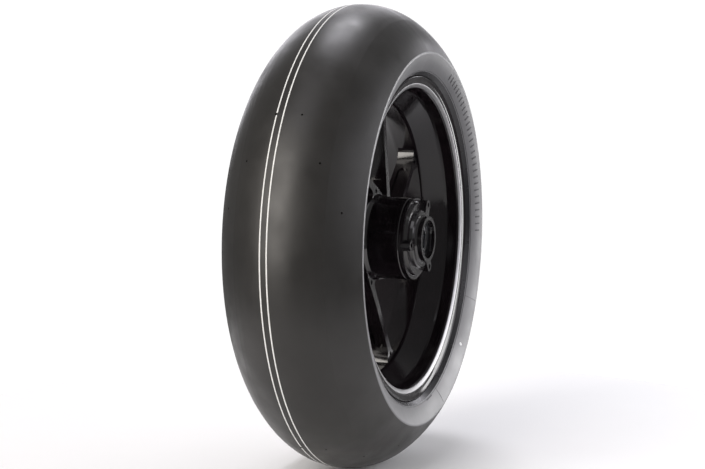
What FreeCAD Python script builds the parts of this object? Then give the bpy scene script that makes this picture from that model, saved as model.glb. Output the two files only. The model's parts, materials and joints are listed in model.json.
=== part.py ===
"""Rear racing tyre of a motorcycle, mounted on its forged wheel.

The wheel turns about the Y axis.  The origin is the centre of the wheel, +Z is up and
the disc side of the wheel looks towards -Y.  Every length is in millimetres.
"""
import FreeCAD, Part
import math
import os
import re

import Sketcher

Vector = FreeCAD.Vector

# ---------------------------------------------------------------- driving dimensions

DIMENSIONS = {
    "cut_overrun": 1.0,          # how far a cutting tool runs past what it cuts
    # tyre section
    "crown_radius": 333.0,       # wheel centre to the crown of the tread
    "crown_arc": 101.0,          # radius of the middle of the crown
    "shoulder_arc": 146.0,       # radius of the flatter shoulders
    "crown_slope": 38.8,         # lean of the surface where the two arcs meet, degrees
    "belt_slope": 50.0,          # lean of the surface over the belt's edge, degrees
    "tread_slope": 61.6,         # lean of the surface at the tread's edge, degrees
    "tread_depth": 6.5,
    "belt_depth": 8.0,           # crown surface to the inside of the belt
    "ply_depth": 9.6,            # crown surface to the inside of the carcass ply
    "liner_depth": 11.0,         # crown surface to the inside of the liner
    "casing_bend": 12.0,         # radius of the ply's inside round the shoulder
    "casing_lean": 140.0,        # lean of the straight flank of the casing, degrees
    "shoulder_round": 4.0,
    "flank_lean": 105.0,         # lean where the shoulder round meets the sidewall
    "flank_arc": 76.0,
    "flank_foot_y": 88.65,       # lower edge of the sidewall rubber
    "flank_foot_radius": 238.4,
    "pit_radius": 1.4,           # wear gauge holes in the tread
    "pit_depth": 4.0,
    "pit_start": -55.05,         # angle of the middle pits of the first set, degrees
    "pit_step": 11.1,            # each outer row trails by this angle
    # bead
    "toe_y": 58.8,
    "toe_radius": 217.1,
    "toe_lean": 0.8,
    "cable_y": 66.9,             # inner side of the bead cable
    "cable_width": 6.2,
    "cable_radius": 221.3,
    "cable_height": 4.9,
    "ply_thickness": 1.5,        # also the chafer's
    "bead_gap": 0.1,             # tyre to flange
    "curl_radius": 224.0,        # where the flange starts to curl outwards
    "curl_lean": 60.0,           # how far round the curl the tyre's bead follows it, degrees
    "fold_y": 84.0,              # end of the ply's fold beside the bead filler
    "fold_radius": 240.2,
    "fold_tip_out": 1.0,         # from the fold's inner corner to its outer one
    "fold_tip_drop": 1.2,
    "apex_tip_y": 84.5,
    "band_y": 83.4,              # foot of the visible band over the flange
    "band_radius": 233.6,
    # rim
    "flange_y": 76.2,            # half of the width between the flanges
    "seat_radius": 218.3,
    "seat_corner": 2.5,
    "flange_curl": 9.0,
    "nose_y": 84.0,
    "nose_radius": 230.9,
    "nose_round": 2.0,
    "lip_hollow": 12.0,          # radius of the hollow under the nose
    "break_y": 81.0,             # ridge between the hollow and the bright band
    "break_radius": 222.4,
    "band_top_y": 80.6,
    "band_top_radius": 221.8,
    "band_cove": 20.0,
    "lip_inner_y": 77.3,
    "lip_inner_radius": 215.4,
    "cone_start_y": 75.3,
    "cone_start_radius": 214.2,
    "cone_end_y": 60.3,
    "cone_end_radius": 213.7,
    "drop_y": 56.3,              # where the barrel falls away to the well
    "drop_radius": 212.5,
    "hump_start_y": 59.0,        # hump that keeps the bead on its seat
    "hump_start_radius": 217.0,
    "hump_y": 56.4,
    "hump_radius": 218.0,
    "hump_end_y": 53.8,
    "hump_end_radius": 215.6,
    "well_radius": 196.1,        # inside of the well
    "well_wall": 4.2,
    "well_near": 27.2,           # near edge of the flat of the well
    "well_far": 4.0,
    "well_top_near": 29.2,       # the same edges on the tyre's side
    "well_top_far": 5.5,
    "well_bend": 10.0,           # radius inside the bends of the barrel
    # hub
    "barrel_radius": 59.0,
    "ring_radius": 62.0,         # where the spokes start
    "ring_slope": 5.0,           # length of the slope down to the barrel
    "ring_back": 9.0,
    "seat_bore": 27.5,           # bearing seats
    "nose_tube": 32.7,
    "near_end": 101.5,
    "tube_step": 95.0,
    "collar_face": 92.2,
    "collar_root": 34.2,
    "collar_rim": 40.0,
    "collar_back": 90.5,
    "collar_foot": 41.5,
    "step_face": 86.6,
    "step_root": 42.5,
    "step_rim": 52.0,
    "end_face": 82.0,
    "end_root": 53.5,
    "end_rim": 58.0,
    "groove_near": 78.5,
    "groove_far": 75.5,
    "groove_floor": 58.4,
    "barrel_start": 74.5,
    "far_end": 88.0,
    "near_shoulder": 79.0,
    "far_shoulder": 67.0,
    "shoulder_bore": 23.5,
    "shoulder_depth": 6.0,
    "cavity_radius": 49.0,
    "lug_face": 93.5,
    "lug_back": 73.5,
    "lug_root": 38.0,
    "lug_circle": 52.0,
    "lug_half_width": 8.0,
    "lug_round_start": 53.0,
    "lug_round": 8.5,            # radius of the lug's end
    "disc_thread": 3.4,          # core radius of an M8 thread
    "disc_depth": 14.0,
    "drive_face": 72.0,
    "drive_radius": 70.0,
    "drive_thickness": 12.0,
    "drive_root": 20.0,          # drive face to where the flange leaves the barrel
    "drive_circle": 56.0,
    "drive_thread": 4.25,        # core radius of an M10 thread
    "drive_depth": 20.0,
    "drive_boss": 43.0,
    "drive_boss_end": 85.0,
    "drive_boss_tip": 35.0,
    # spokes
    "spoke_offset": 55.0,        # spoke centre line to the wheel's axis
    "spoke_half_width": 5.5,
    "spoke_front": 24.0,
    "spoke_back_root": 8.0,
    "spoke_back_foot": 0.0,
    "back_shift": 4.0,           # the slope of the back starts and stops this much further out
    "web_half": 2.25,
    "crotch_radius": 6.0,
    "foot_flare": 25.0,
    "foot_left": 37.0,
    "foot_right": 73.0,
    "flare_turn": 60.0,          # how far round each flare goes, degrees
    "root_taper": 2.0,           # extra width of the right side at the hub
    "root_corner": 1.0,          # the same, where it meets the hub
    "taper_end": 80.0,
    "pocket_root": 72.0,         # web pockets, from the hub outwards
    "pocket_foot": 160.0,
    "pocket_end_arc": 9.5,
    "root_front_flange": 8.5,
    "root_back_flange": 6.0,
    "foot_flange": 4.0,
    "hole_shift": 0.6,
    "root_hole_height": 38.0,
    "root_hole_radius": 3.6,
    "foot_hole_height": 180.0,
    "foot_hole_radius": 3.4,
    # bearing, 30 x 55 x 13
    "bore_radius": 15.0,
    "half_bearing": 6.5,
    "ball_circle": 21.25,
    "ball_radius": 3.57,
    "groove_radius": 3.62,
    "inner_land": 19.05,
    "outer_land": 23.45,
    "cage_inner": 19.9,
    "cage_outer": 22.6,
    "cage_half": 4.6,
    "pocket_radius": 3.67,       # cage pocket round a ball
    "shield_bore": 19.2,
    "shield_inner": 4.9,
    "shield_outer": 6.1,
    "spacer_radius": 19.0,
    "clip_near": 92.0,
    "clip_groove": 29.0,
    "clip_inner": 25.4,
    "clip_thickness": 2.0,
    "clip_slack": 0.1,
    "ear_inner_x": 3.0,
    "ear_outer_x": 8.0,
    "ear_low": 20.5,
    "ear_hole_x": 5.5,
    "ear_hole_z": 23.0,
    "ear_hole_radius": 1.25,
    # valve, along its own axis; heights are measured from the wheel's axis
    "valve_y": -11.5,
    "valve_hole": 4.15,
    "valve_head": 8.5,
    "stem_radius": 4.0,
    "stem_bore": 2.6,
    "stem_end": 166.9,
    "grommet_thickness": 2.0,
    "head_thickness": 3.0,
    "washer_radius": 7.5,
    "washer_low": 194.9,
    "washer_high": 195.9,
    "nut_corner": 6.9,
    "nut_height": 3.6,
    "core_end": 179.0,
    "core_recess": 0.3,          # the core starts this far inside the stem's end
    "core_hole": 0.86,
    "core_counterbore": 1.7,
    "counterbore_end": 172.4,
    "pin_radius": 0.8,
    "pin_button": 1.4,
    "pin_end": 166.2,
    "button_thickness": 1.0,
    "seal_radius": 2.0,
    "seal_thickness": 1.3,
    "seal_gap": 0.1,             # core to the seal on the pin
    "spring_wire": 0.16,         # half of the wire's thickness
    "spring_radius": 1.22,
    "spring_low": 168.4,
    "spring_high": 172.2,
    "cap_radius": 4.75,
    "cap_bore": 4.06,
    "cap_end": 164.4,
    "cap_crown": 1.3,
    "cap_length": 11.0,
}

SPOKES = 7
FIRST_SPOKE = -9.1               # direction of spoke_1, degrees from +Z towards +X
LUGS = 3
LUG_ANGLE = 26.0
DRIVE_BOLTS = 5
BALLS = 11
PIT_SETS = 4
PIT_SLOPES = (10.6, 30.66, 47.8)
VALVE_ANGLE = -70.0
SPRING_TURNS = 5
WIRE_SIDES = 8

NEAR = -1                        # the disc side, towards -Y
FAR = 1
SIDE_NAMES = {NEAR: "near", FAR: "far"}

doc = FreeCAD.newDocument("RearTyre")
sheet = doc.addObject("Spreadsheet::Sheet", "Dimensions")
parts = []


def fill_sheet():
    """Write every driving dimension to the sheet, one row each."""
    for row, (alias, number) in enumerate(DIMENSIONS.items(), start=1):
        sheet.set(f"A{row}", alias)
        sheet.set(f"B{row}", str(number))
        sheet.setAlias(f"B{row}", alias)
    doc.recompute()


def bound(expression):
    """Point every alias (each has an underscore) in an expression at the sheet."""
    return re.sub(r"[a-z]+(_[a-z]+)+", r"Dimensions.\g<0>", str(expression))


def value(expression):
    """Present value of an expression, as a plain number."""
    return float(sheet.evalExpression(bound(expression)))


# ---------------------------------------------------------------- general helpers

def new_body(name):
    """Start one sub-part as a PartDesign body."""
    body = doc.addObject("PartDesign::Body", name)
    body.Label = name
    return body


def keep(feature, name, angle=0.0, start=Vector()):
    """Hand a finished feature in as a sub-part, moved to its start and turned about the wheel's axis."""
    spin = about_axle(angle)
    feature.Label = name
    feature.Placement = FreeCAD.Placement(spin.multVec(start), spin)
    parts.append(feature)
    return feature


def new_sketch(body, name, plane, offset=None):
    """Sketch on one of a body's own origin planes, moved along its normal."""
    sketch = body.newObject("Sketcher::SketchObject", name)
    support = next(f for f in body.Origin.OriginFeatures if f.Role == plane)
    sketch.AttachmentSupport = [(support, "")]
    sketch.MapMode = "FlatFace"
    if offset is not None:
        sketch.AttachmentOffset = FreeCAD.Placement(Vector(0, 0, value(offset)), FreeCAD.Rotation())
        sketch.setExpression(".AttachmentOffset.Base.z", bound(offset))
    return sketch


def arc_between(start, end, radius, turn):
    """Minor arc of a given radius; turn is +1 anticlockwise and -1 clockwise."""
    chord = end - start
    height = math.sqrt(radius ** 2 - (chord.Length / 2) ** 2)
    normal = Vector(-chord.y, chord.x, 0).normalize()
    centre = (start + end) * 0.5 + normal * height * turn
    first, last = (start, end) if turn > 0 else (end, start)
    angles = [math.atan2(p.y - centre.y, p.x - centre.x) for p in (first, last)]
    return Part.ArcOfCircle(Part.Circle(centre, Vector(0, 0, 1), radius), *angles)


def bind(sketch, constraint, expression):
    """Add a constraint whose value is an expression."""
    index = sketch.addConstraint(constraint)
    sketch.setExpression(f"Constraints[{index}]", bound(expression))


def draw_outline(sketch, vertices):
    """Closed outline.  A vertex is (x, y), or (x, y, radius, turn) if an arc leaves it."""
    first = sketch.GeometryCount
    count = len(vertices)
    points = [Vector(value(v[0]), value(v[1]), 0) for v in vertices]
    ends = []
    for index, vertex in enumerate(vertices):
        start, end = points[index], points[(index + 1) % count]
        if len(vertex) == 2:
            sketch.addGeometry(Part.LineSegment(start, end), False)
            ends.append((1, 2))
        else:
            sketch.addGeometry(arc_between(start, end, value(vertex[2]), vertex[3]), False)
            ends.append((1, 2) if vertex[3] > 0 else (2, 1))
    for index, vertex in enumerate(vertices):
        edge = first + index
        before = (index - 1) % count
        sketch.addConstraint(
            Sketcher.Constraint("Coincident", first + before, ends[before][1], edge, ends[index][0]))
        for axis, position, expression in zip("XY", points[index], vertex):
            rule = Sketcher.Constraint(f"Distance{axis}", -1, 1, edge, ends[index][0], position)
            bind(sketch, rule, expression)
        if len(vertex) > 2:
            bind(sketch, Sketcher.Constraint("Radius", edge, value(vertex[2])), vertex[2])


def draw_circle(sketch, x, y, radius):
    """Circle with its centre and radius bound to the sheet."""
    circle = Part.Circle(Vector(value(x), value(y), 0), Vector(0, 0, 1), value(radius))
    edge = sketch.addGeometry(circle, False)
    bind(sketch, Sketcher.Constraint("DistanceX", -1, 1, edge, 3, value(x)), x)
    bind(sketch, Sketcher.Constraint("DistanceY", -1, 1, edge, 3, value(y)), y)
    bind(sketch, Sketcher.Constraint("Radius", edge, value(radius)), radius)


def revolve(body, vertices):
    """Turn an outline of (y, radius) vertices about the wheel's axis."""
    sketch = new_sketch(body, body.Name + "_profile", "YZ_Plane")
    draw_outline(sketch, vertices)
    feature = body.newObject("PartDesign::Revolution", body.Name + "_turned")
    feature.Profile = sketch
    feature.ReferenceAxis = (sketch, ["H_Axis"])
    feature.Angle = 360


def turned_part(name, vertices):
    """Sub-part that is one turned ring."""
    body = new_body(name)
    revolve(body, vertices)
    return keep(body, name)


def cut_pocket(body, sketch, length=None, reverse=False):
    """Pocket of a given depth, or through everything on one side of its sketch."""
    feature = body.newObject("PartDesign::Pocket", sketch.Name + "_cut")
    feature.Profile = sketch
    feature.Reversed = reverse
    if length is None:
        feature.Type = "ThroughAll"
    else:
        feature.setExpression("Length", bound(length))
    return feature


def repeat_round(body, features, count):
    """Copy features evenly about the wheel's axis."""
    pattern = body.newObject("PartDesign::PolarPattern", features[-1].Name + "_pattern")
    axis = next(f for f in body.Origin.OriginFeatures if f.Role == "Y_Axis")
    pattern.Originals = features
    pattern.Axis = (axis, [""])
    pattern.Angle = 360
    pattern.Occurrences = count
    body.Tip = pattern
    return pattern


def volume_of(feature):
    """Volume of a feature, to show that a cut has removed something."""
    doc.recompute()
    return feature.Shape.Volume


def cut_away(name, base, tool):
    """One feature less another; the cut has to remove something."""
    result = doc.addObject("Part::Cut", name)
    result.Base = base
    result.Tool = tool
    assert volume_of(result) < base.Shape.Volume, name
    return result


def placed_rod(name, radius, height, start, turn):
    """Cylinder of given radius and height, from a start point along its turned axis."""
    rod = doc.addObject("Part::Cylinder", name)
    rod.setExpression("Radius", bound(radius))
    rod.setExpression("Height", bound(height))
    rod.Placement = FreeCAD.Placement(start, turn)
    return rod


def about_axle(angle):
    """Rotation about the wheel's axis, in degrees from +Z towards +X."""
    return FreeCAD.Rotation(Vector(0, 1, 0), angle)


# ---------------------------------------------------------------- tyre

def crown(depth, slope, side):
    """Point under the crown where the surface leans by slope, on one side."""
    return (
        f"{side} * ((crown_arc - shoulder_arc) * sin(crown_slope)"
        f" + (shoulder_arc - {depth}) * sin({slope}))",
        f"crown_radius - crown_arc + (crown_arc - shoulder_arc) * cos(crown_slope)"
        f" + (shoulder_arc - {depth}) * cos({slope})",
    )


def crown_line(depth, slope, direction):
    """Crown surface from one side to the other, as vertices with their arcs."""
    return [
        (*crown(depth, slope, -direction), f"shoulder_arc - {depth}", -direction),
        (*crown(depth, "crown_slope", -direction), f"crown_arc - {depth}", -direction),
        (*crown(depth, "crown_slope", direction), f"shoulder_arc - {depth}", -direction),
        crown(depth, slope, direction),
    ]


def tread_outline():
    """Section of the tread: it steps down to the ply beyond the belt's edges."""
    inner = [
        (*crown("belt_depth", "tread_slope", 1), "shoulder_arc - belt_depth", 1),
        crown("belt_depth", "belt_slope", 1),
        *crown_line("tread_depth", "belt_slope", -1),
        (*crown("belt_depth", "belt_slope", -1), "shoulder_arc - belt_depth", 1),
        crown("belt_depth", "tread_slope", -1),
    ]
    return crown_line("0", "tread_slope", 1) + inner


def pit_places():
    """Slope, side and angle of each wear gauge hole: four sets in the form of a V."""
    for number in range(PIT_SETS):
        for row, slope in enumerate(PIT_SLOPES):
            angle = value("pit_start") - row * value("pit_step") + number * 360.0 / PIT_SETS
            for side in (NEAR, FAR):
                yield slope, side, angle


def make_tread():
    """Tread rubber with its wear gauge holes, each square to the surface."""
    body = new_body("tread_turned")
    revolve(body, tread_outline())
    drills = doc.addObject("Part::Compound", "wear_pits")
    drills.Links = [pit_drill(*place) for place in pit_places()]
    keep(cut_away("tread_cap", body, drills), "tread_cap")


def crown_surface(slope, side):
    """Point on the tread's surface where it leans by slope, up from the wheel's axis."""
    if slope < value("crown_slope"):
        y = f"{side} * crown_arc * sin({slope})"
        radius = f"crown_radius - crown_arc + crown_arc * cos({slope})"
    else:
        y, radius = crown("0", slope, side)
    return Vector(0, value(y), value(radius))


def pit_drill(slope, side, angle):
    """Drill for one wear gauge hole, half of it above the surface."""
    tilt = FreeCAD.Rotation(Vector(1, 0, 0), -side * slope)
    spin = about_axle(angle)
    start = crown_surface(slope, side) - tilt.multVec(Vector(0, 0, value("pit_depth")))
    return placed_rod("wear_pit", "pit_radius", "pit_depth * 2", spin.multVec(start), spin.multiply(tilt))


def make_belt():
    """Steel cord wound round the crown at zero degrees."""
    outline = crown_line("tread_depth", "belt_slope", 1) + crown_line("belt_depth", "belt_slope", -1)
    return turned_part("zero_degree_belt", outline)


def reverse(path):
    """The same vertices and arcs, travelled the other way."""
    back = []
    for index in range(len(path) - 1, -1, -1):
        arc = path[index - 1][2:] if index else ()
        back.append((*path[index][:2], *((arc[0], -arc[1]) if arc else ())))
    return back


def mirror(path):
    """The same path on the other side of the wheel."""
    return [(f"-({v[0]})", v[1], *((v[2], -v[3]) if len(v) > 2 else ())) for v in path]


def on_side(path, side):
    """A far side path, or its near side copy."""
    return path if side == FAR else mirror(path)


def bead_to_bead(depth_out, outer, depth_in, inner):
    """Outline of a casing layer, from the far side runs of its two surfaces."""
    return (
        crown_line(depth_out, "tread_slope", 1)[:-1] + outer
        + reverse(inner)[:-1]
        + crown_line(depth_in, "tread_slope", -1)[:-1] + mirror(inner)
        + reverse(mirror(outer))[:-1]
    )


def leg_end(depth):
    """Bend radius of a casing surface at the shoulder, and where its bend ends."""
    bend = f"(casing_bend + ply_depth - {depth})"
    centre_y, centre_radius = crown("(ply_depth + casing_bend)", "tread_slope", 1)
    return bend, f"{centre_y} + {bend} * sin(casing_lean)", f"{centre_radius} + {bend} * cos(casing_lean)"


def leg_radius(depth, y):
    """Radius of the straight flank of a casing surface, y from the centre plane."""
    _, end_y, end_radius = leg_end(depth)
    return f"{end_radius} - (({end_y}) - ({y})) * tan(180 - casing_lean)"


def leg(depth, foot):
    """Far side casing surface from the tread's edge down to foot, a distance along Y."""
    bend, end_y, end_radius = leg_end(depth)
    return [
        (*crown(depth, "tread_slope", 1), bend, -1),
        (end_y, end_radius),
        (foot, leg_radius(depth, foot)),
    ]


def curl_run(gap):
    """Down the outside of the bead, a gap inside the flange's curl."""
    reach = f"(flange_curl + {gap})"
    return [
        (f"flange_y + flange_curl - {reach} * cos(curl_lean)",
         f"curl_radius + {reach} * sin(curl_lean)", reach, 1),
        (f"flange_y - ({gap})", "curl_radius"),
    ]


FOLD_OUT = "bead_gap + ply_thickness"
FOLD_IN = "bead_gap + ply_thickness * 2"
FOLD_TIP = ("fold_y + fold_tip_out", "fold_radius - fold_tip_drop")
PLY_FOOT = ("cable_y - ply_thickness", "cable_radius - ply_thickness")
TOE_TOP = ("toe_y + toe_lean", "toe_radius + ply_thickness")


def make_ply():
    """Carcass ply from bead to bead, folded up round each bead cable."""
    outer = [
        *leg("belt_depth", "cable_y"),
        ("cable_y", "cable_radius"),
        ("cable_y + cable_width", "cable_radius"),
        *reverse(curl_run(FOLD_IN)),
        ("fold_y", "fold_radius"),
        FOLD_TIP,
        *curl_run(FOLD_OUT),
        (f"flange_y - ({FOLD_OUT})", PLY_FOOT[1]),
    ]
    inner = [*leg("ply_depth", PLY_FOOT[0]), PLY_FOOT]
    return turned_part("carcass_ply", bead_to_bead("belt_depth", outer, "ply_depth", inner))


def make_liner():
    """Airtight inner liner from toe to toe."""
    outer = [*leg("ply_depth", PLY_FOOT[0]), PLY_FOOT]
    inner = [*leg("liner_depth", "cable_y - ply_thickness * 2"), TOE_TOP]
    return turned_part("inner_liner", bead_to_bead("ply_depth", outer, "liner_depth", inner))


def make_sidewall(side):
    """Sidewall rubber from the tread's edge to the band over the rim flange."""
    centre_y, centre_radius = crown("shoulder_round", "tread_slope", 1)
    outline = [
        (*crown("0", "tread_slope", 1), "shoulder_round", -1),
        (f"{centre_y} + shoulder_round * sin(flank_lean)",
         f"{centre_radius} + shoulder_round * cos(flank_lean)", "flank_arc", -1),
        ("flank_foot_y", "flank_foot_radius"),
        FOLD_TIP,
        ("fold_y", "fold_radius"),
        *reverse(leg("belt_depth", "apex_tip_y")),
    ]
    return turned_part(f"sidewall_{SIDE_NAMES[side]}", on_side(outline, side))


def make_chafer(side):
    """Hard rubber strip between the bead and the rim."""
    corner = "seat_corner - bead_gap"
    outline = [
        ("flank_foot_y", "flank_foot_radius"),
        ("band_y", "band_radius"),
        *curl_run("bead_gap"),
        ("flange_y - bead_gap", "seat_radius + seat_corner", corner, -1),
        ("flange_y - seat_corner", "seat_radius + bead_gap"),
        ("toe_y", "toe_radius"),
        TOE_TOP,
        PLY_FOOT,
        (f"flange_y - ({FOLD_OUT})", PLY_FOOT[1]),
        *reverse(curl_run(FOLD_OUT)),
        FOLD_TIP,
    ]
    return turned_part(f"chafer_{SIDE_NAMES[side]}", on_side(outline, side))


def make_bead_cable(side):
    """Bundle of steel wire that holds the bead on its seat."""
    outline = [
        ("cable_y", "cable_radius"),
        ("cable_y + cable_width", "cable_radius"),
        ("cable_y + cable_width", "cable_radius + cable_height"),
        ("cable_y", "cable_radius + cable_height"),
    ]
    return turned_part(f"bead_cable_{SIDE_NAMES[side]}", on_side(outline, side))


def make_bead_filler(side):
    """Hard rubber wedge between the ply and its fold."""
    outline = [
        ("cable_y", "cable_radius + cable_height"),
        ("apex_tip_y", leg_radius("belt_depth", "apex_tip_y")),
        ("fold_y", "fold_radius"),
        *curl_run(FOLD_IN),
        ("cable_y + cable_width", "cable_radius + cable_height"),
    ]
    return turned_part(f"bead_filler_{SIDE_NAMES[side]}", on_side(outline, side))


# ---------------------------------------------------------------- wheel

CURL_END = (
    "flange_y + flange_curl * (1 - cos(curl_lean))",
    "curl_radius + flange_curl * sin(curl_lean)",
)
RIM_OUTSIDE = [
    (*CURL_END, "flange_curl", 1),
    ("flange_y", "curl_radius"),
    ("flange_y", "seat_radius + seat_corner", "seat_corner", -1),
    ("flange_y - seat_corner", "seat_radius"),
    ("hump_start_y", "hump_start_radius"),
    ("hump_y", "hump_radius"),
    ("hump_end_y", "hump_end_radius"),
]
RIM_LIP = [
    (*CURL_END, "nose_round", -1),
    ("nose_y", "nose_radius", "lip_hollow", 1),
    ("break_y", "break_radius"),
    ("band_top_y", "band_top_radius", "band_cove", -1),
    ("lip_inner_y", "lip_inner_radius"),
    ("cone_start_y", "cone_start_radius"),
    ("cone_end_y", "cone_end_radius"),
    ("drop_y", "drop_radius"),
]


def rim_outline():
    """Section of the rim: two flanges and seats, with the well under the spokes' feet."""
    top = "well_radius + well_wall"
    far = RIM_OUTSIDE + [("well_top_far", top)]
    near = mirror(RIM_OUTSIDE + [("well_top_near", top)])
    inside = RIM_LIP + [("well_far", "well_radius")]
    near_inside = mirror(RIM_LIP + [("well_near", "well_radius")])
    return reverse(near)[:-1] + near_inside + reverse(inside)[:-1] + far


def ring_edges(shape, places):
    """Names of the full-circle edges at the given (y, radius) places."""
    names = []
    for index, edge in enumerate(shape.Edges, start=1):
        if not isinstance(edge.Curve, Part.Circle):
            continue
        place = (edge.Curve.Center.y, edge.Curve.Radius)
        if any(math.dist(place, (value(y), value(radius))) < 0.01 for y, radius in places):
            names.append(f"Edge{index}")
    return names


def round_rings(body, places, radius):
    """Round the full-circle edges at the given places."""
    doc.recompute()
    base = body.Tip
    feature = body.newObject("PartDesign::Fillet", f"{body.Name}_round")
    feature.Base = (base, ring_edges(base.Shape, places))
    feature.setExpression("Radius", bound(radius))
    return feature


def make_rim():
    """Forged rim with the hole for the valve."""
    body = new_body("rim_turned")
    revolve(body, rim_outline())
    round_rings(body, [
        ("-well_near", "well_radius"), ("-drop_y", "drop_radius"),
        ("well_far", "well_radius"), ("drop_y", "drop_radius"),
    ], "well_bend")
    spin = about_axle(VALVE_ANGLE)
    start = Vector(0, value("valve_y"), value("well_radius - well_wall"))
    drill = placed_rod("valve_drill", "valve_hole", "well_wall * 3", spin.multVec(start), spin)
    keep(cut_away("rim", body, drill), "rim")


def hub_outline():
    """Section of the hub: stepped disc end, barrel, spoke ring, cavity and drive flange."""
    near = [
        ("near_end", "seat_bore"), ("near_end", "nose_tube"), ("tube_step", "nose_tube"),
        ("collar_face", "collar_root"), ("collar_face", "collar_rim"), ("collar_back", "collar_foot"),
        ("step_face", "step_root"), ("step_face", "step_rim"), ("end_face", "end_root"),
        ("end_face", "end_rim"), ("groove_near", "groove_floor"), ("groove_far", "groove_floor"),
        ("barrel_start", "barrel_radius"), ("spoke_front + ring_slope", "barrel_radius"),
        ("spoke_front", "ring_radius"),
    ]
    far = [
        ("ring_back", "ring_radius"), ("spoke_back_root + ring_slope", "barrel_radius"),
        ("drive_face - drive_root", "barrel_radius"), ("drive_face - drive_thickness", "drive_radius"),
        ("drive_face", "drive_radius"), ("drive_face", "drive_boss"),
        ("drive_boss_end", "drive_boss_tip"), ("far_end", "nose_tube"), ("far_end", "seat_bore"),
        ("far_shoulder", "seat_bore"), ("far_shoulder", "shoulder_bore"),
        ("far_shoulder - shoulder_depth", "shoulder_bore"),
        ("far_shoulder - shoulder_depth * 2", "cavity_radius"),
    ]
    bore = [
        ("near_shoulder - shoulder_depth * 2", "cavity_radius"),
        ("near_shoulder - shoulder_depth", "shoulder_bore"),
        ("near_shoulder", "shoulder_bore"), ("near_shoulder", "seat_bore"),
        ("clip_near", "seat_bore"), ("clip_near", "clip_groove"),
        ("clip_near + clip_thickness + clip_slack", "clip_groove"),
        ("clip_near + clip_thickness + clip_slack", "seat_bore"),
    ]
    return mirror(near) + far + mirror(bore)


def lug_outline():
    """A disc lug seen along the axis, pointing up: straight sides and a round end."""
    return [
        ("lug_half_width", "lug_root"),
        ("lug_half_width", "lug_round_start", "lug_round", 1),
        ("-lug_half_width", "lug_round_start"),
        ("-lug_half_width", "lug_root"),
    ]


def make_hub():
    """Hub with three lugs for the brake disc and a drilled drive flange."""
    body = new_body("hub")
    revolve(body, hub_outline())
    sketch = new_sketch(body, "lug", "XZ_Plane", "lug_back")
    draw_outline(sketch, lug_outline())
    lug = body.newObject("PartDesign::Pad", "lug_pad")
    lug.Profile = sketch
    lug.setExpression("Length", bound("lug_face - lug_back"))
    repeat_round(body, [lug], LUGS)
    before = volume_of(body)
    sketch = new_sketch(body, "disc_bolt", "XZ_Plane", "lug_face")
    draw_circle(sketch, "0", "lug_circle", "disc_thread")
    repeat_round(body, [cut_pocket(body, sketch, "disc_depth")], LUGS)
    sketch = new_sketch(body, "drive_bolt", "XZ_Plane", "-drive_face")
    draw_circle(sketch, "0", "drive_circle", "drive_thread")
    repeat_round(body, [cut_pocket(body, sketch, "drive_depth", reverse=True)], DRIVE_BOLTS)
    assert volume_of(body) < before
    return keep(body, "hub", LUG_ANGLE)


def spoke_outline():
    """A spoke seen along the axis, pointing up and offset to the right of the centre."""
    left = "(spoke_offset - spoke_half_width)"
    right = "(spoke_offset + spoke_half_width)"
    crotch_x = f"({left} - crotch_radius)"
    reach = "(ring_radius + crotch_radius)"
    crotch_z = f"sqrt({reach}^2 - {crotch_x}^2)"
    lift = "foot_flare * sin(flare_turn)"
    return [
        (f"{crotch_x} * ring_radius / {reach}", f"{crotch_z} * ring_radius / {reach}", "ring_radius", -1),
        (f"{right} + root_corner", f"sqrt(ring_radius^2 - ({right} + root_corner)^2)"),
        (f"{right} + root_taper", "root_hole_height"),
        (right, "taper_end"),
        (right, f"sqrt(well_radius^2 - foot_right^2) - {lift}", "foot_flare", -1),
        ("foot_right", "sqrt(well_radius^2 - foot_right^2)", "well_radius", 1),
        ("foot_left", "sqrt(well_radius^2 - foot_left^2)", "foot_flare", -1),
        (left, f"sqrt(well_radius^2 - foot_left^2) - {lift}"),
        (left, crotch_z, "crotch_radius", -1),
    ]


def make_spoke(number):
    """One spoke: a slim I section, tangent to the hub, with a flared and drilled foot."""
    name = f"spoke_{number}"
    body = new_body(name)
    sketch = new_sketch(body, f"{name}_front", "XZ_Plane", "-spoke_back_root")
    draw_outline(sketch, spoke_outline())
    pad = body.newObject("PartDesign::Pad", f"{name}_pad")
    pad.Profile = sketch
    pad.setExpression("Length", bound("spoke_front + spoke_back_root"))
    before = volume_of(body)
    for sign in (1, -1):
        flange = "spoke_offset + web_half" if sign > 0 else "spoke_offset - web_half"
        side = new_sketch(body, f"{name}_web{sign + 1}", "YZ_Plane", flange)
        draw_outline(side, [
            ("root_front_flange - spoke_front", "pocket_root"),
            ("spoke_back_root - root_back_flange", "pocket_root"),
            ("spoke_back_foot - foot_flange", "pocket_foot", "pocket_end_arc", 1),
            ("foot_flange - spoke_front", "pocket_foot"),
        ])
        cut_pocket(body, side, reverse=sign > 0)
    back = new_sketch(body, f"{name}_back", "YZ_Plane", "0")
    draw_outline(back, [
        ("spoke_back_foot", "well_radius + back_shift"),
        ("spoke_back_root", "ring_radius + back_shift"),
        ("spoke_back_root + cut_overrun", "ring_radius + back_shift"),
        ("spoke_back_root + cut_overrun", "well_radius + back_shift"),
    ])
    cut_pocket(body, back, reverse=True)
    holes = new_sketch(body, f"{name}_holes", "XZ_Plane", "spoke_front")
    for end in ("root", "foot"):
        draw_circle(holes, "spoke_offset + hole_shift", f"{end}_hole_height", f"{end}_hole_radius")
    cut_pocket(body, holes)
    assert volume_of(body) < before
    return keep(body, name, FIRST_SPOKE + (number - 1) * 360.0 / SPOKES)


# ---------------------------------------------------------------- bearings

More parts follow.
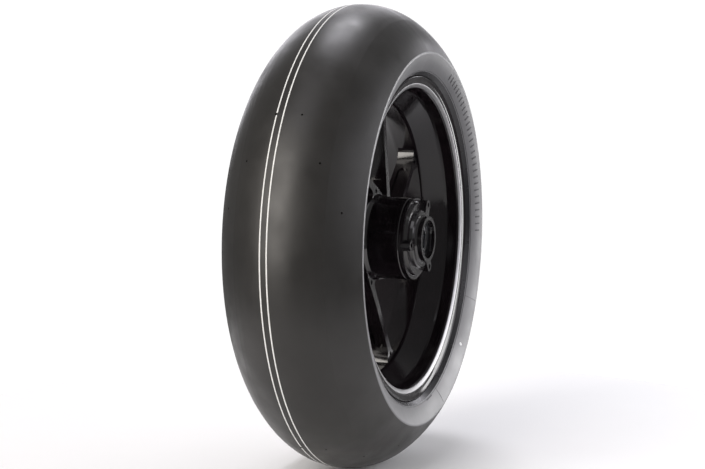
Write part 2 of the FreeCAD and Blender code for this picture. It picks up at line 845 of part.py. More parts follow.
def make_bearing(side):
    """Sealed ball bearing, 30 x 55 x 13, at one end of the hub."""
    word = SIDE_NAMES[side]
    middle = f"{side} * ({'far' if side == FAR else 'near'}_shoulder + half_bearing)"
    groove = "sqrt(groove_radius^2 - (ball_circle - inner_land)^2)"
    outer_groove = "sqrt(groove_radius^2 - (outer_land - ball_circle)^2)"
    turned_part(f"bearing_inner_race_{word}", [
        (f"{middle} - half_bearing", "bore_radius"),
        (f"{middle} - half_bearing", "inner_land"),
        (f"{middle} - {groove}", "inner_land", "groove_radius", 1),
        (f"{middle} + {groove}", "inner_land"),
        (f"{middle} + half_bearing", "inner_land"),
        (f"{middle} + half_bearing", "bore_radius"),
    ])
    turned_part(f"bearing_outer_race_{word}", [
        (f"{middle} - half_bearing", "seat_bore"),
        (f"{middle} - half_bearing", "outer_land"),
        (f"{middle} - {outer_groove}", "outer_land", "groove_radius", -1),
        (f"{middle} + {outer_groove}", "outer_land"),
        (f"{middle} + half_bearing", "outer_land"),
        (f"{middle} + half_bearing", "seat_bore"),
    ])
    for place, sign in (("outboard", side), ("inboard", -side)):
        turned_part(f"bearing_shield_{place}_{word}", [
            (f"{middle} + {sign} * shield_inner", "shield_bore"),
            (f"{middle} + {sign} * shield_inner", "outer_land"),
            (f"{middle} + {sign} * shield_outer", "outer_land"),
            (f"{middle} + {sign} * shield_outer", "shield_bore"),
        ])
    make_balls(word, middle)


def make_balls(word, middle):
    """The balls of one bearing and the cage that spaces them."""
    ring = new_body(f"cage_ring_{word}")
    revolve(ring, [
        (f"{middle} - cage_half", "cage_inner"),
        (f"{middle} - cage_half", "cage_outer"),
        (f"{middle} + cage_half", "cage_outer"),
        (f"{middle} + cage_half", "cage_inner"),
    ])
    balls = doc.addObject("Part::Compound", f"bearing_balls_{word}")
    pockets = doc.addObject("Part::Compound", f"cage_pockets_{word}")
    turns = [about_axle(360.0 * number / BALLS) for number in range(BALLS)]
    centre = Vector(0, value(middle), 0)
    out = Vector(0, 0, value("ball_circle"))
    balls.Links = [ball_at(centre + turn.multVec(out)) for turn in turns]
    drill = ("cage_pocket", "pocket_radius", "cage_outer + cut_overrun", centre)
    pockets.Links = [placed_rod(*drill, turn) for turn in turns]
    keep(balls, f"bearing_balls_{word}")
    keep(cut_away(f"bearing_cage_{word}", ring, pockets), f"bearing_cage_{word}")


def ball_at(place):
    """One bearing ball."""
    ball = doc.addObject("Part::Sphere", "bearing_ball")
    ball.setExpression("Radius", bound("ball_radius"))
    ball.Placement = FreeCAD.Placement(place, FreeCAD.Rotation())
    return ball


def make_spacer():
    """Tube that keeps the two inner races apart."""
    turned_part("bearing_spacer", [
        ("-near_shoulder", "bore_radius"),
        ("-near_shoulder", "spacer_radius"),
        ("far_shoulder", "spacer_radius"),
        ("far_shoulder", "bore_radius"),
    ])


def make_circlip():
    """Spring clip in front of the near bearing: an open ring with two drilled ears."""
    body = new_body("bearing_circlip")
    sketch = new_sketch(body, "circlip_ring", "XZ_Plane", "clip_near + clip_slack / 2")
    reach = "(clip_groove - clip_slack)"
    draw_outline(sketch, [
        ("ear_inner_x", f"sqrt({reach}^2 - ear_inner_x^2)", reach, -1),
        ("0", f"-{reach}", reach, -1),
        ("-ear_inner_x", f"sqrt({reach}^2 - ear_inner_x^2)"),
        ("-ear_inner_x", "ear_low"),
        ("-ear_outer_x", "ear_low"),
        ("-ear_outer_x", "sqrt(clip_inner^2 - ear_outer_x^2)", "clip_inner", 1),
        ("0", "-clip_inner", "clip_inner", 1),
        ("ear_outer_x", "sqrt(clip_inner^2 - ear_outer_x^2)"),
        ("ear_outer_x", "ear_low"),
        ("ear_inner_x", "ear_low"),
    ])
    pad = body.newObject("PartDesign::Pad", "circlip_pad")
    pad.Profile = sketch
    pad.setExpression("Length", bound("clip_thickness"))
    before = volume_of(body)
    holes = new_sketch(body, "circlip_holes", "XZ_Plane", "clip_near + clip_thickness + cut_overrun")
    for x in ("ear_hole_x", "-ear_hole_x"):
        draw_circle(holes, x, "ear_hole_z", "ear_hole_radius")
    cut_pocket(body, holes)
    assert volume_of(body) < before
    keep(body, "bearing_circlip", 180.0)


# ---------------------------------------------------------------- valve

def upright(name, steps):
    """Valve piece: a stack of rings (inner radius, outer radius, low, high) turned about
    the valve's axis, which stands on the wheel's axis."""
    pieces = [ring_solid(f"{name}_ring", *step) for step in steps]
    if len(pieces) == 1:
        return pieces[0]
    whole = doc.addObject("Part::MultiFuse", f"{name}_stack")
    whole.Shapes = pieces
    whole.Refine = True
    return whole


def ring_solid(name, inner, outer, low, high):
    """Short tube, or a rod if inner is zero, along the valve's axis."""
    rod = upright_rod(name, outer, low, high)
    if inner == "0":
        return rod
    tube = doc.addObject("Part::Cut", f"{name}_tube")
    tube.Base = rod
    tube.Tool = upright_rod(f"{name}_bore", inner, f"{low} - cut_overrun", f"{high} + cut_overrun")
    return tube


def upright_rod(name, radius, low, high):
    """Cylinder along the valve's axis between two heights."""
    start = Vector(0, value("valve_y"), value(low))
    return placed_rod(name, radius, f"({high}) - ({low})", start, FreeCAD.Rotation())


GROMMET_TOP = "well_radius + well_wall + grommet_thickness"


def make_valve():
    """Clamp-in metal valve: stem, seal, washer, nut, core and cap."""
    top = f"{GROMMET_TOP} + head_thickness"
    pieces = {
        "valve_stem": [
            ("stem_bore", "stem_radius", "stem_end", GROMMET_TOP),
            ("stem_bore", "valve_head", GROMMET_TOP, top),
        ],
        "valve_grommet": [("stem_radius", "valve_head", "well_radius + well_wall", GROMMET_TOP)],
        "valve_washer": [("stem_radius", "washer_radius", "washer_low", "washer_high")],
        "valve_core": [
            ("core_counterbore", "stem_bore", "stem_end + core_recess", "counterbore_end"),
            ("core_hole", "stem_bore", "counterbore_end", "core_end"),
        ],
        "valve_pin": [
            ("0", "pin_button", "pin_end", "pin_end + button_thickness"),
            ("0", "pin_radius", "pin_end + button_thickness", "core_end + seal_gap * 2"),
            ("0", "seal_radius", "core_end + seal_gap", "core_end + seal_gap + seal_thickness"),
        ],
        "valve_cap": [
            ("0", "cap_radius", "cap_end", "cap_end + cap_crown"),
            ("cap_bore", "cap_radius", "cap_end + cap_crown", "cap_end + cap_length"),
        ],
    }
    for name, steps in pieces.items():
        keep(upright(name, steps), name, VALVE_ANGLE)
    make_valve_nut()
    make_valve_spring()


def make_valve_nut():
    """Hexagon nut under the washer."""
    blank = doc.addObject("Part::Prism", "nut_blank")
    blank.Polygon = 6
    blank.setExpression("Circumradius", bound("nut_corner"))
    blank.setExpression("Height", bound("nut_height"))
    low = value("washer_low - nut_height")
    blank.Placement = FreeCAD.Placement(Vector(0, value("valve_y"), low), FreeCAD.Rotation())
    bottom = "washer_low - nut_height - cut_overrun"
    bore = upright_rod("nut_bore", "stem_radius", bottom, "washer_low + cut_overrun")
    keep(cut_away("valve_nut", blank, bore), "valve_nut", VALVE_ANGLE)


def wire_section():
    """Section of the spring's wire, with eight flats."""
    corners = []
    for number in range(WIRE_SIDES + 1):
        angle = 2 * math.pi * (number + 0.5) / WIRE_SIDES
        reach = value("spring_wire")
        corners.append(Vector(value("spring_radius") + reach * math.cos(angle), 0, reach * math.sin(angle)))
    return Part.makePolygon(corners)


def make_valve_spring():
    """Fine wire spring round the pin, between the core and the pin's button."""
    rise = value("spring_high - spring_low")
    helix = Part.makeHelix(rise / SPRING_TURNS, rise, value("spring_radius"))
    coil = Part.Wire(helix.Edges).makePipeShell([wire_section()], True, True)
    spring = doc.addObject("Part::Feature", "valve_spring")
    spring.Shape = coil
    keep(spring, "valve_spring", VALVE_ANGLE, Vector(0, value("valve_y"), value("spring_low")))


# ---------------------------------------------------------------- check and write

def check_document():
    """Stop if any object failed, or any sub-part isn't whole."""
    doc.recompute()
    for thing in doc.Objects:
        assert not {"Invalid", "Error"} & set(thing.State), f"{thing.Label}: {thing.State}"
    for feature in parts:
        shape = feature.Shape
        assert not shape.isNull() and shape.isValid() and shape.Solids, feature.Label


def write_parts():
    """One STEP file for each sub-part."""
    os.makedirs("parts", exist_ok=True)
    for feature in parts:
        feature.Shape.exportStep(f"parts/{feature.Label}.step")
        print(feature.Label, len(feature.Shape.Solids), round(feature.Shape.Volume, 1))


fill_sheet()
make_tread()
make_belt()
make_ply()
make_liner()
for wheel_side in (NEAR, FAR):
    make_sidewall(wheel_side)
    make_chafer(wheel_side)
    make_bead_cable(wheel_side)
    make_bead_filler(wheel_side)
make_rim()
make_hub()
for spoke_number in range(1, SPOKES + 1):
    make_spoke(spoke_number)
for wheel_side in (NEAR, FAR):
    make_bearing(wheel_side)
make_spacer()
make_circlip()
make_valve()
check_document()
write_parts()
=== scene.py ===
"""Looks of a rear racing tyre on its forged wheel: materials, fine detail, light and camera.

Everything is in metres, in the frame of the CAD model: the wheel turns about Y, +Z is up
and the disc side looks towards -Y.
"""
import json
import math

import bpy
from mathutils import Matrix, Vector


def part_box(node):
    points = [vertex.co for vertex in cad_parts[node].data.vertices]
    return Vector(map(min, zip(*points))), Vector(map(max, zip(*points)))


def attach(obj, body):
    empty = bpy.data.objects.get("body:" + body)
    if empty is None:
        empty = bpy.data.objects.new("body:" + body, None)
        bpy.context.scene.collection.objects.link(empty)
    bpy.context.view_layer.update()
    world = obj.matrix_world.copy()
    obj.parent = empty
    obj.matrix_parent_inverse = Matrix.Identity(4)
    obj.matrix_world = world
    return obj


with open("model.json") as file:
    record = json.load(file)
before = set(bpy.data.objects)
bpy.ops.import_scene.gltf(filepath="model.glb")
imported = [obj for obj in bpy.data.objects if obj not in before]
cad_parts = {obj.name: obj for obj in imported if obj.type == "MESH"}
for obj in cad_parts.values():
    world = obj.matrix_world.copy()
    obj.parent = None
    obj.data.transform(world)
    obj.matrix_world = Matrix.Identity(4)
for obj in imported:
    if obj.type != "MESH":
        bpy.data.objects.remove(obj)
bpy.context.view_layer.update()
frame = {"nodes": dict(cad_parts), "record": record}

nodes = frame["nodes"]
MM = 0.001

# ------------------------------------------------------------------ sizes from the frame

tread_low, tread_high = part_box("tread_cap")
CROWN_RADIUS = (tread_high.x - tread_low.x) / 2
FLOOR_Z = tread_low.z

CROWN_ARC = 101 * MM             # radius of the crown's middle arc
PIT_SETS = 4                     # sets of wear holes round the tread
PIT_START = math.radians(-55.05)
PIT_OFFSET = 18.6 * MM           # middle wear hole to the centre plane

TURN_STEPS = 540                 # facets of a ring round the wheel
STRIPE_STEPS = 720

CAMERA_AZIMUTH = math.radians(-69.24)
CAMERA_ELEVATION = math.radians(6.67)
CAMERA_DISTANCE = 2.7876
CAMERA_SLIDE = (-0.01352, 0.00267)   # right and up
CAMERA_LENS = 98.61

WORLD_FILL = 0.23                # on the object
WORLD_SEEN = 1.05                # by the camera
FLOOR_RADIUS = 0.8
FLOOR_CORNERS = 96
WARM = (1.0, 0.95, 0.89)
COOL = (0.955, 0.94, 1.0)
NEUTRAL = (1.0, 0.995, 1.0)
LIGHTS = (                                  # direction, distance, size, radiance, colour
    ("front_box", (-0.86, 0.30, 0.33), 3.2, (2.1, 3.2), 5.3, WARM),
    ("backdrop", (0.85, 0.42, 0.30), 3.6, (2.6, 2.0), 2.4, COOL),
    ("disc_side_box", (0.50, -0.80, 0.28), 2.8, (1.5, 1.5), 2.2, COOL),
    ("disc_front_box", (-0.10, -0.95, 0.30), 2.8, (1.5, 1.5), 1.3, COOL),
    ("low_box", (0.73, -0.66, 0.04), 2.8, (1.4, 1.2), 6.3, NEUTRAL),
    ("grazing_box", (0.93, -0.21, 0.30), 2.8, (0.6, 0.5), 4.5, COOL),
    ("top_front_box", (-0.45, 0.05, 0.85), 3.0, (1.6, 1.6), 1.1, COOL),
    ("top_box", (0.45, 0.10, 0.88), 3.0, (0.9, 0.9), 12.5, COOL),
)


# ------------------------------------------------------------------ geometry helpers

def turned(radius, y, angle):
    """Point at a radius and an angle from +Z towards +X about the wheel's axis."""
    return Vector((radius * math.sin(angle), y, radius * math.cos(angle)))


def crown_point(y, lift=0.0):
    """(radius, y) on the middle arc of the tread at y, lifted along its normal."""
    slope = math.asin(y / CROWN_ARC)
    reach = CROWN_ARC + lift
    return CROWN_RADIUS - CROWN_ARC + reach * math.cos(slope), reach * math.sin(slope)


def add_mesh(name, vertices, faces, slot, material, body="wheel", smooth=True):
    """New piece from vertices and faces, riding on a body."""
    mesh = bpy.data.meshes.new(name)
    mesh.from_pydata([tuple(v) for v in vertices], [], faces)
    mesh.validate()
    mesh.update()
    if smooth:
        mesh.shade_smooth()
    piece = bpy.data.objects.new(name, mesh)
    bpy.context.scene.collection.objects.link(piece)
    mesh.materials.append(material)
    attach(piece, body)
    return piece


def swept_band(section, start, stop, steps, closed):
    """Vertices and faces of a (radius, y) section swept about the axis."""
    count = len(section)
    rows = steps if closed else steps + 1
    vertices = []
    for row in range(rows):
        angle = start + (stop - start) * row / steps
        vertices += [turned(radius, y, angle) for radius, y in section]
    faces = []
    for row in range(steps):
        low = row * count
        high = ((row + 1) % rows) * count
        for i in range(count):
            j = (i + 1) % count
            faces.append((low + i, low + j, high + j, high + i))
    if not closed:
        faces.append(tuple(range(count))[::-1])
        faces.append(tuple(range((rows - 1) * count, rows * count)))
    return vertices, faces


def join_runs(runs):
    """One vertex and face list from several."""
    vertices, faces = [], []
    for run_vertices, run_faces in runs:
        base = len(vertices)
        vertices += run_vertices
        faces += [tuple(base + index for index in face) for face in run_faces]
    return vertices, faces


# ------------------------------------------------------------------ material helpers

def new_material(name, colour, roughness, metallic=0.0, **inputs):
    """Principled material; further inputs are set on the shader's own sockets."""
    material = bpy.data.materials.new(name)
    material.use_nodes = True
    shader = material.node_tree.nodes["Principled BSDF"]
    shader.inputs["Base Color"].default_value = (*colour, 1)
    shader.inputs["Roughness"].default_value = roughness
    shader.inputs["Metallic"].default_value = metallic
    for socket, number in inputs.items():
        shader.inputs[socket.replace("_", " ")].default_value = number
    return material


def add_node(material, kind, **settings):
    """Node with some of its properties or inputs set."""
    node = material.node_tree.nodes.new(kind)
    for name, setting in settings.items():
        if hasattr(node, name):
            setattr(node, name, setting)
        else:
            node.inputs[name.replace("_", " ")].default_value = setting
    return node


def wire(material, source, target):
    material.node_tree.links.new(source, target)


def object_noise(material, scale, detail=4.0, rough=0.55):
    """Noise fixed to the object, in cycles per metre."""
    place = add_node(material, "ShaderNodeTexCoord")
    noise = add_node(material, "ShaderNodeTexNoise", Scale=scale, Detail=detail, Roughness=rough)
    wire(material, place.outputs["Object"], noise.inputs["Vector"])
    return noise


def vary(material, noise, socket, low, high):
    """Drive a number or a colour of the shader between two values by noise."""
    shader = material.node_tree.nodes["Principled BSDF"]
    ramp = add_node(material, "ShaderNodeValToRGB")
    ends = ramp.color_ramp.elements
    ends[0].position, ends[1].position = 0.3, 0.7
    for end, setting in zip(ends, (low, high)):
        end.color = (*setting, 1) if isinstance(setting, tuple) else (setting,) * 3 + (1,)
    wire(material, noise.outputs["Fac"], ramp.inputs["Fac"])
    wire(material, ramp.outputs["Color"], shader.inputs[socket])


def bump(material, noise, strength, distance):
    """Fine relief from noise."""
    shader = material.node_tree.nodes["Principled BSDF"]
    relief = add_node(material, "ShaderNodeBump", Strength=strength, Distance=distance)
    wire(material, noise.outputs["Fac"], relief.inputs["Height"])
    wire(material, relief.outputs["Normal"], shader.inputs["Normal"])


# ------------------------------------------------------------------ materials

def rubber(name, dark, light, rough_low, rough_high, grain=900.0, relief=0.12, **inputs):
    """Moulded rubber: cloudy colour, uneven gloss and a fine grain."""
    material = new_material(name, dark, rough_low, **inputs)
    vary(material, object_noise(material, 9.0), "Base Color", dark, light)
    vary(material, object_noise(material, 23.0, 6.0), "Roughness", rough_low, rough_high)
    bump(material, object_noise(material, grain, 3.0), relief, 0.2 * MM)
    return material


PAINT_GLOSS = 0.4                # specular level of the lacquer
THICK_GLOSS = 0.95


def paint(name, gloss):
    """Gloss black lacquer with a faint orange peel."""
    material = new_material(name, (0.008, 0.0058, 0.0072), 0.12, Specular_IOR_Level=gloss)
    dark, light = (0.0066, 0.0047, 0.0059), (0.0108, 0.0078, 0.0096)
    vary(material, object_noise(material, 40.0), "Base Color", dark, light)
    vary(material, object_noise(material, 60.0, 5.0), "Roughness", 0.09, 0.16)
    bump(material, object_noise(material, 260.0, 2.0), 0.05, 0.1 * MM)
    return material


def metal(name, dark, light, rough_low, rough_high, scale=300.0):
    """Bare metal with fine variation in tone and gloss."""
    material = new_material(name, dark, rough_low, metallic=1.0)
    vary(material, object_noise(material, scale), "Base Color", dark, light)
    vary(material, object_noise(material, scale * 2, 5.0), "Roughness", rough_low, rough_high)
    bump(material, object_noise(material, scale * 6, 2.0), 0.08, 0.05 * MM)
    return material


def plastic(name, dark, light, rough):
    """Moulded plastic."""
    material = new_material(name, dark, rough)
    vary(material, object_noise(material, 120.0), "Base Color", dark, light)
    vary(material, object_noise(material, 300.0), "Roughness", rough, rough + 0.12)
    bump(material, object_noise(material, 1800.0, 2.0), 0.1, 0.05 * MM)
    return material


def ply_cords(name):
    """Rubber coated cords, side by side round the tyre."""
    material = new_material(name, (0.2, 0.17, 0.13), 0.7)
    vary(material, object_noise(material, 500.0), "Base Color", (0.12, 0.1, 0.08), (0.24, 0.2, 0.15))
    vary(material, object_noise(material, 200.0), "Roughness", 0.6, 0.85)
    bump(material, object_noise(material, 1400.0, 2.0), 0.3, 0.2 * MM)
    return material


MATERIALS = {
    "tread_rubber": rubber(
        "tread_rubber", (0.0125, 0.0116, 0.0108), (0.0205, 0.0192, 0.018), 0.33, 0.49, relief=0.16),
    "sidewall_rubber": rubber(
        "sidewall_rubber", (0.1, 0.098, 0.105), (0.14, 0.138, 0.146), 0.4, 0.5, Specular_IOR_Level=1.0),
    "chafer_rubber": rubber(
        "chafer_rubber", (0.009, 0.0085, 0.0105), (0.015, 0.0142, 0.0175), 0.24, 0.33, grain=700.0,
        Specular_IOR_Level=0.42),
    "liner_rubber": rubber("liner_rubber", (0.02, 0.02, 0.02), (0.03, 0.03, 0.03), 0.6, 0.75),
    "seal_rubber": rubber(
        "seal_rubber", (0.012, 0.012, 0.013), (0.02, 0.02, 0.021), 0.5, 0.65, grain=2500.0),
    "textile_ply": ply_cords("textile_ply"),
    "belt_cord": ply_cords("belt_cord"),
    "steel_cord": metal("steel_cord", (0.45, 0.36, 0.22), (0.6, 0.5, 0.32), 0.3, 0.45),
    "black_gloss_paint": paint("black_gloss_paint", PAINT_GLOSS),
    "bearing_steel": metal("bearing_steel", (0.55, 0.55, 0.57), (0.66, 0.66, 0.68), 0.12, 0.22),
    "cage_plastic": plastic("cage_plastic", (0.4, 0.32, 0.2), (0.5, 0.42, 0.28), 0.5),
    "bare_aluminium": metal("bare_aluminium", (0.6, 0.6, 0.62), (0.72, 0.72, 0.74), 0.2, 0.34),
    "black_spring_steel": metal(
        "black_spring_steel", (0.04, 0.04, 0.045), (0.08, 0.08, 0.085), 0.3, 0.45),
    "plated_steel": metal("plated_steel", (0.5, 0.5, 0.52), (0.62, 0.62, 0.64), 0.22, 0.36),
    "brass": metal("brass", (0.58, 0.42, 0.16), (0.7, 0.53, 0.24), 0.2, 0.34),
    "cap_plastic": plastic("cap_plastic", (0.012, 0.012, 0.012), (0.02, 0.02, 0.02), 0.42),
}


def paint_nodes():
    """Give every CAD node the material of its slot; the hub and spokes have a thicker lacquer."""
    thick_lacquer = paint("thick_lacquer", THICK_GLOSS)
    for entry in frame["record"]["subparts"]:
        name = entry["node"]
        thick = name == "hub" or name.startswith("spoke_")
        data = nodes[name].data
        data.materials.clear()
        data.materials.append(thick_lacquer if thick else MATERIALS[entry["material_slot"]])


# ------------------------------------------------------------------ tread marking

STRIPE_PLACES = {"marker_stripe_outer": 17.0 * MM, "marker_stripe_inner": 6.9 * MM}
STRIPE_WIDTH = 1.9 * MM
STRIPE_LIFT = 0.12 * MM
PIT_CLEARANCE = 1.9 * MM


def stripe_section(y):
    """Closed section of a thin band that follows the crown."""
    outer = [crown_point(y + offset * STRIPE_WIDTH, STRIPE_LIFT) for offset in (-0.5, 0, 0.5)]
    inner = [crown_point(y + offset * STRIPE_WIDTH, -STRIPE_LIFT) for offset in (0.5, 0, -0.5)]
    return outer + inner


def make_stripes():
    """Two thin printed lines round the tread; the outer one stops at the wear holes."""
    line = new_material("marker_line", (0.8, 0.8, 0.79), 0.5)
    vary(line, object_noise(line, 300.0), "Base Color", (0.7, 0.7, 0.69), (0.86, 0.86, 0.85))
    vary(line, object_noise(line, 200.0), "Roughness", 0.42, 0.6)
    for name, y in STRIPE_PLACES.items():
        section = stripe_section(y)
        if abs(y - PIT_OFFSET) > STRIPE_WIDTH + PIT_CLEARANCE:
            band = swept_band(section, 0, 2 * math.pi, STRIPE_STEPS, True)
        else:
            half_gap = PIT_CLEARANCE / CROWN_RADIUS
            quarter = 2 * math.pi / PIT_SETS
            starts = [PIT_START + quarter * number for number in range(PIT_SETS)]
            steps = STRIPE_STEPS // PIT_SETS
            band = join_runs(
                swept_band(section, start + half_gap, start + quarter - half_gap, steps, False)
                for start in starts)
        add_mesh(name, *band, "tread_rubber", line)


# ------------------------------------------------------------------ sidewall detail

FLANK_CENTRE = (27.1 * MM, 283.1 * MM)      # distance from the centre plane, radius
FLANK_ARC = 76 * MM
FLANK_TOP = 105.0                           # lean of the surface, degrees
FLANK_FOOT = 126.0
SIDES = {"near": -1, "far": 1}
SINK = 0.2 * MM                             # how far each relief is set in
CREST = 0.6                                 # flat top of a raised ring, part of its width
RING_LEAN = 124.5
RING_SIZE = (0.9 * MM, 0.35 * MM)           # width, height
RIB_ANGLES = [26 + 2.4 * number for number in range(29)]
RIB_LEANS = (110.5, 117.5)
RIB_SIZE = (2.2 * MM, 0.4 * MM)
JOINT_ANGLES = (117.6, 163.0)
JOINT_LEANS = (FLANK_TOP + 1, FLANK_FOOT - 1)
JOINT_SIZE = (0.7 * MM, 0.3 * MM)
DOT_ANGLE = math.radians(136)
DOT_LEAN = 115.8
DOT_RADIUS = 2.6 * MM
DOT_HEIGHT = 0.12 * MM
DOT_CORNERS = 28
PLATE_LEANS = (123.0, 124.1)
PLATE_ANGLES = (math.radians(168), math.radians(173.5))
PLATE_HEIGHT = 0.25 * MM
PLATE_STEPS = 12
ACROSS_STEPS = 6                            # facets across a curved strip


def flank_point(lean, side, lift=0.0):
    """(radius, y) on the sidewall where it leans by this many degrees, lifted off it."""
    turn = math.radians(lean)
    reach = FLANK_ARC + lift
    return FLANK_CENTRE[1] + reach * math.cos(turn), side * (FLANK_CENTRE[0] + reach * math.sin(turn))


def ring_line(lean, side, width, height):
    """Raised line right round the sidewall."""
    half = math.degrees(width / 2 / FLANK_ARC)
    section = [
        flank_point(lean - half, side, -SINK), flank_point(lean - half * CREST, side, height),
        flank_point(lean + half * CREST, side, height), flank_point(lean + half, side, -SINK),
    ]
    return swept_band(section, 0, 2 * math.pi, TURN_STEPS, True)


def spread_out(ends):
    """Leans at even steps from one end to the other."""
    low, high = ends
    return [low + (high - low) * step / ACROSS_STEPS for step in range(ACROSS_STEPS + 1)]


def radial_line(angle, leans, side, width, height):
    """Raised line across the sidewall at an angle in degrees."""
    angle = math.radians(angle)
    spread = spread_out(leans)
    section = [flank_point(lean, side, height) for lean in spread]
    section += [flank_point(lean, side, -SINK) for lean in reversed(spread)]
    half = width / 2 / section[0][0]
    return swept_band(section, angle - half, angle + half, 1, False)


def make_sidewall_detail():
    """A moulded ring, a short band of ribs and two mould joints on each sidewall."""
    relief = rubber("relief_rubber", (0.035, 0.034, 0.037), (0.06, 0.058, 0.063), 0.4, 0.5)
    for word, side in SIDES.items():
        rings = [ring_line(RING_LEAN, side, *RING_SIZE)]
        ribs = [radial_line(angle, RIB_LEANS, side, *RIB_SIZE) for angle in RIB_ANGLES]
        joints = [radial_line(angle, JOINT_LEANS, side, *JOINT_SIZE) for angle in JOINT_ANGLES]
        for name, runs in (("rings", rings), ("ribs", ribs), ("joints", joints)):
            lines = join_runs(runs)
            add_mesh(f"sidewall_{name}_{word}", *lines, "sidewall_rubber", relief, smooth=False)


def make_balance_dot():
    """Painted dot that marks the lightest place of the tyre."""
    count = DOT_CORNERS
    vertices = []
    for lift in (DOT_HEIGHT, -SINK):
        for corner in range(count):
            turn = 2 * math.pi * corner / count
            lean = DOT_LEAN + math.degrees(DOT_RADIUS * math.sin(turn) / FLANK_ARC)
            radius, y = flank_point(lean, SIDES["near"], lift)
            vertices.append(turned(radius, y, DOT_ANGLE + DOT_RADIUS * math.cos(turn) / radius))
    faces = [tuple(range(count)), tuple(range(count, 2 * count))[::-1]]
    faces += [(i, i + count, (i + 1) % count + count, (i + 1) % count) for i in range(count)]
    white = new_material("dot_paint", (0.8, 0.8, 0.8), 0.5)
    vary(white, object_noise(white, 900.0), "Base Color", (0.74, 0.74, 0.73), (0.86, 0.86, 0.85))
    vary(white, object_noise(white, 600.0), "Roughness", 0.4, 0.6)
    add_mesh("balance_dot", vertices, faces, "sidewall_rubber", white, smooth=False)


def make_blank_plate():
    """Small blank patch low on the disc side sidewall."""
    low, high = PLATE_LEANS
    side = SIDES["near"]
    section = [
        flank_point(low, side, -SINK), flank_point(low, side, PLATE_HEIGHT),
        flank_point(high, side, PLATE_HEIGHT), flank_point(high, side, -SINK),
    ]
    dark = rubber("plate_rubber", (0.02, 0.0195, 0.022), (0.03, 0.029, 0.032), 0.45, 0.55)
    patch = swept_band(section, *PLATE_ANGLES, PLATE_STEPS, False)
    add_mesh("blank_plate", *patch, "sidewall_rubber", dark, smooth=False)


# ------------------------------------------------------------------ rim lip

LIP_CENTRE = (61.464 * MM, 227.616 * MM)    # distance from the centre plane, radius
LIP_ARC = 20 * MM
LIP_LEANS = (17.6, 36.9)                    # start and stop of the band, degrees
LIP_LIFT = 0.12 * MM


def lip_point(lean, side, lift):
    """(radius, y) on the rounded lip, lifted off it."""
    turn = math.radians(lean)
    reach = LIP_ARC + lift
    return LIP_CENTRE[1] - reach * math.sin(turn), side * (LIP_CENTRE[0] + reach * math.cos(turn))


def make_lip_bands():
    """Bright turned band round each rim lip, where the paint stops."""
    dark, light = (0.26, 0.257, 0.264), (0.31, 0.306, 0.314)
    turned_metal = metal("lip_metal", dark, light, 0.36, 0.44, scale=60.0)
    leans = spread_out(LIP_LEANS)
    for word, side in SIDES.items():
        section = [lip_point(lean, side, LIP_LIFT) for lean in leans]
        section += [lip_point(lean, side, -LIP_LIFT) for lean in reversed(leans)]
        band = swept_band(section, 0, 2 * math.pi, TURN_STEPS, True)
        add_mesh(f"lip_band_{word}", *band, "bare_aluminium", turned_metal)


# ------------------------------------------------------------------ light, floor, camera

def area_light(name, direction, distance, size, radiance, colour):
    """Soft box that faces the wheel's centre, as bright as its radiance."""
    data = bpy.data.lights.new(name, "AREA")
    data.color = colour
    data.shape = "RECTANGLE"
    data.size, data.size_y = size
    data.energy = math.pi * size[0] * size[1] * radiance
    lamp = bpy.data.objects.new(name, data)
    lamp.location = Vector(direction).normalized() * distance
    lamp.rotation_mode = "QUATERNION"
    lamp.rotation_quaternion = lamp.location.to_track_quat("Z", "Y")
    lamp.visible_camera = False
    bpy.context.scene.collection.objects.link(lamp)


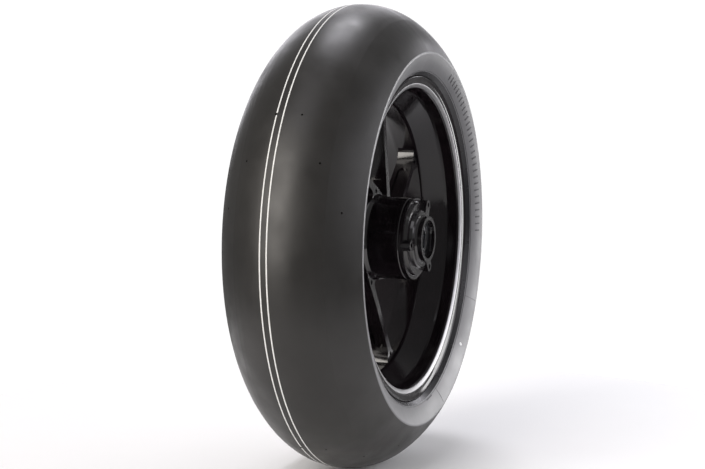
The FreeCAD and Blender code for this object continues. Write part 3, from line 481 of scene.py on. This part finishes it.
def make_world():
    """White backdrop to the eye, and a dim even fill for everything else."""
    world = bpy.data.worlds.new("studio")
    bpy.context.scene.world = world
    world.use_nodes = True
    tree = world.node_tree
    tree.nodes.clear()
    mix = tree.nodes.new("ShaderNodeMixShader")
    for slot, strength in ((1, WORLD_FILL), (2, WORLD_SEEN)):
        shade = tree.nodes.new("ShaderNodeBackground")
        shade.inputs["Color"].default_value = (1, 1, 1, 1)
        shade.inputs["Strength"].default_value = strength
        tree.links.new(shade.outputs[0], mix.inputs[slot])
    rays = tree.nodes.new("ShaderNodeLightPath")
    out = tree.nodes.new("ShaderNodeOutputWorld")
    tree.links.new(rays.outputs["Is Camera Ray"], mix.inputs[0])
    tree.links.new(mix.outputs[0], out.inputs["Surface"])


def make_light():
    """Studio of soft boxes in front of, behind, above and beside the tyre."""
    make_world()
    for light in LIGHTS:
        area_light(*light)


def make_floor():
    """Plain pale floor under the tyre."""
    floor_mat = new_material("pale_floor", (0.93, 0.93, 0.93), 0.9)
    vary(floor_mat, object_noise(floor_mat, 3.0), "Base Color", (0.92, 0.92, 0.92), (0.94, 0.94, 0.94))
    edge = []
    for corner in range(FLOOR_CORNERS):
        angle = 2 * math.pi * corner / FLOOR_CORNERS
        edge.append((FLOOR_RADIUS * math.cos(angle), FLOOR_RADIUS * math.sin(angle), FLOOR_Z))
    mesh = bpy.data.meshes.new("floor")
    mesh.from_pydata(edge, [], [tuple(range(FLOOR_CORNERS))])
    mesh.materials.append(floor_mat)
    floor = bpy.data.objects.new("floor", mesh)
    bpy.context.scene.collection.objects.link(floor)


def make_camera():
    """Camera in front of the tread, a little towards the disc side."""
    az, el = CAMERA_AZIMUTH, CAMERA_ELEVATION
    back = Vector((math.sin(az) * math.cos(el), -math.cos(az) * math.cos(el), math.sin(el)))
    right = Vector((math.cos(az), math.sin(az), 0))
    up = back.cross(right)
    data = bpy.data.cameras.new("camera")
    data.lens = CAMERA_LENS
    camera = bpy.data.objects.new("camera", data)
    place = back * CAMERA_DISTANCE + right * CAMERA_SLIDE[0] + up * CAMERA_SLIDE[1]
    turn = Matrix((right, up, back)).transposed().to_4x4()
    camera.matrix_world = Matrix.Translation(place) @ turn
    bpy.context.scene.collection.objects.link(camera)
    bpy.context.scene.camera = camera


make_camera()
make_light()
make_floor()
bpy.context.scene.view_settings.view_transform = "Standard"
paint_nodes()
make_stripes()
make_sidewall_detail()
make_balance_dot()
make_blank_plate()
make_lip_bands()
